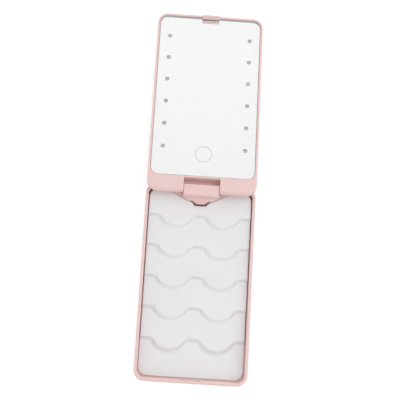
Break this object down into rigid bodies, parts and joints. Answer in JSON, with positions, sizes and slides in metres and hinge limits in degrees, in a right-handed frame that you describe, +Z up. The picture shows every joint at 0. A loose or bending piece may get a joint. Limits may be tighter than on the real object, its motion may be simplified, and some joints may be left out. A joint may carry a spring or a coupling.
{
  "type": "false eyelash case",
  "caption": "Slim flip case for false eyelashes: a tray with a scalloped, stepped lash insert and a fold-over lid with a touch-lit mirror.",
  "frame": {"origin": "centre of the tray's flat underside, on the surface that the case stands on", "axes": "+Y along the case towards the hinge and the opened lid, +Z up out of the tray, +X to the right as seen from the front"},
  "size_m": [0.078, 0.2726, 0.0201],
  "materials": {
    "pink_shell": "satin moulded",
    "white_insert": "satin moulded",
    "adhesive": "matte",
    "steel": "plain",
    "mirror_glass": "polished",
    "mirror_film": "mirror",
    "circuit_board": "white solder mask",
    "led": "clear resin",
    "chip": "matte moulded",
    "conductive_foam": "soft",
    "battery_foil": "foil pouch",
    "wire": "insulated"
  },
  "bodies": {
    "tray": {"tray_shell": "pink_shell", "lash_insert": "white_insert", "insert_tape": "adhesive"},
    "lid": {"lid_frame": "pink_shell", "lid_back_cover": "pink_shell", "mirror_glass": "mirror_glass", "mirror_backing": "mirror_film", "mirror_tape": "adhesive", "hinge_pin_left": "steel", "hinge_pin_right": "steel", "led_board_left": "circuit_board", "led_board_right": "circuit_board", "leds": "led", "main_board": "circuit_board", "board_chips": "chip", "touch_pad": "conductive_foam", "charging_port": "steel", "battery": "battery_foil", "battery_tape": "adhesive", "battery_leads": "wire", "led_leads": "wire", "lid_screws": "steel"}
  },
  "joints": [
    {"name": "lid_hinge", "type": "hinge", "parent": "tray", "child": "lid", "pos_m": [0, 0.0664, 0.0157], "axis": [1, 0, 0], "range_deg": [0, 184.93]}
  ]
}
